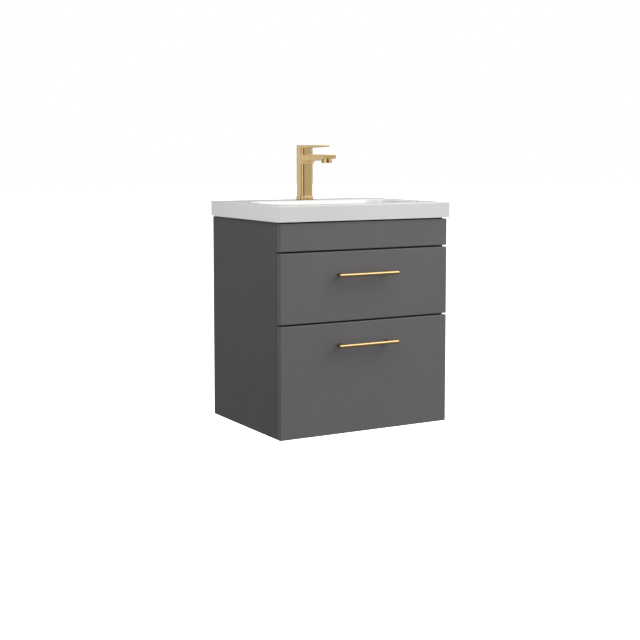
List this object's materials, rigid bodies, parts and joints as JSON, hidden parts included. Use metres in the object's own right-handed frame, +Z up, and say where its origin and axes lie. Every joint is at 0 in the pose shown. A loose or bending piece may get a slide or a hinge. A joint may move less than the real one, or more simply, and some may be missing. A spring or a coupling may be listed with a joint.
{
  "type": "bathroom vanity cabinet",
  "caption": "Wall-hung vanity with grey drawer fronts and bar handles, white ceramic basin on top and a square single-lever basin tap in brushed brass.",
  "frame": {"origin": "on the wall plane, at the centre of the four wall-plate screw holes, 490 mm above the cabinet's underside and 50 mm below its top", "axes": "+X to the right seen from the front, +Y into the wall (the fronts face -Y), +Z up"},
  "size_m": [0.51, 0.423, 0.731],
  "materials": {
    "front_lacquer": "satin grey lacquer on board",
    "carcass_board": "matt grey melamine-faced board",
    "dowel_wood": "fluted beech",
    "zinc_steel": "zinc plated",
    "drawer_steel": "fine textured powder coat",
    "dark_plastic": "matt moulded",
    "pale_plastic": "matt moulded",
    "ceramic": "gloss white glaze",
    "silicone": "translucent white",
    "black_rubber": "matt",
    "brushed_brass": "brushed satin"
  },
  "bodies": {
    "cabinet": {"side_panel_left": "carcass_board", "side_panel_right": "carcass_board", "bottom_panel": "carcass_board", "back_rail_lower": "carcass_board", "back_rail_upper": "carcass_board", "front_rails": "carcass_board", "carcass_dowels": "dowel_wood", "fascia_panel": "front_lacquer", "fascia_screws": "zinc_steel", "front_buffers": "silicone", "wall_plate_left": "zinc_steel", "wall_plate_right": "zinc_steel", "hanger_body_left": "dark_plastic", "hanger_body_right": "dark_plastic", "hanger_hooks": "zinc_steel", "hanger_adjusters": "zinc_steel", "side_panel_screws": "zinc_steel", "lower_runner_left": "zinc_steel", "lower_runner_right": "zinc_steel", "upper_runner_left": "zinc_steel", "upper_runner_right": "zinc_steel", "basin": "ceramic", "silicone_bead": "silicone", "overflow_ring": "brushed_brass", "waste_body": "brushed_brass", "waste_seals": "black_rubber", "waste_backnut": "dark_plastic", "tap_body": "brushed_brass", "tap_base_seal": "black_rubber", "tap_cartridge": "pale_plastic", "tap_cartridge_nut": "brushed_brass", "tap_aerator_housing": "brushed_brass", "tap_aerator_insert": "pale_plastic", "tap_fixing_washer": "zinc_steel", "tap_fixing_nut": "zinc_steel", "tap_fixing_stud": "zinc_steel"},
    "upper_drawer": {"upper_drawer_front": "front_lacquer", "upper_drawer_bottom": "carcass_board", "upper_drawer_back": "carcass_board", "upper_drawer_side_left": "drawer_steel", "upper_drawer_side_right": "drawer_steel", "upper_cutout_surround": "dark_plastic", "upper_drawer_screws": "zinc_steel", "upper_handle_bar": "brushed_brass", "upper_handle_posts": "brushed_brass"},
    "lower_drawer": {"lower_drawer_front": "front_lacquer", "lower_drawer_bottom": "carcass_board", "lower_drawer_back": "carcass_board", "lower_drawer_side_left": "drawer_steel", "lower_drawer_side_right": "drawer_steel", "lower_drawer_screws": "zinc_steel", "lower_handle_bar": "brushed_brass", "lower_handle_posts": "brushed_brass"},
    "upper_slides": {"upper_middle_slides": "zinc_steel"},
    "lower_slides": {"lower_middle_slides": "zinc_steel"},
    "tap_swivel": {"tap_stem": "brushed_brass"},
    "tap_lever": {"tap_lever": "brushed_brass", "tap_lever_screw": "brushed_brass"},
    "waste_plug": {"waste_plug": "brushed_brass", "waste_plug_seal": "black_rubber"}
  },
  "joints": [
    {"name": "upper_drawer_slide", "type": "slide", "parent": "cabinet", "child": "upper_drawer", "axis": [0, -1, 0], "range_m": [0, 0.285]},
    {"name": "lower_drawer_slide", "type": "slide", "parent": "cabinet", "child": "lower_drawer", "axis": [0, -1, 0], "range_m": [0, 0.285]},
    {"name": "upper_slides_slide", "type": "slide", "parent": "cabinet", "child": "upper_slides", "axis": [0, -1, 0], "range_m": [0, 0.1425]},
    {"name": "lower_slides_slide", "type": "slide", "parent": "cabinet", "child": "lower_slides", "axis": [0, -1, 0], "range_m": [0, 0.1425]},
    {"name": "lever_swivel", "type": "hinge", "parent": "cabinet", "child": "tap_swivel", "pos_m": [0, -0.062, 0.218], "axis": [0, 0, 1], "range_deg": [-50, 50]},
    {"name": "lever_lift", "type": "hinge", "parent": "tap_swivel", "child": "tap_lever", "pos_m": [0, -0.05, 0.2206], "axis": [-1, 0, 0], "range_deg": [0, 22]},
    {"name": "plug_press", "type": "slide", "parent": "cabinet", "child": "waste_plug", "axis": [0, 0, 1], "range_m": [0, 0.008]}
  ],
  "couplings": [
    {"joint": "upper_slides_slide", "follows": "upper_drawer_slide", "ratio": 0.5},
    {"joint": "lower_slides_slide", "follows": "lower_drawer_slide", "ratio": 0.5}
  ]
}
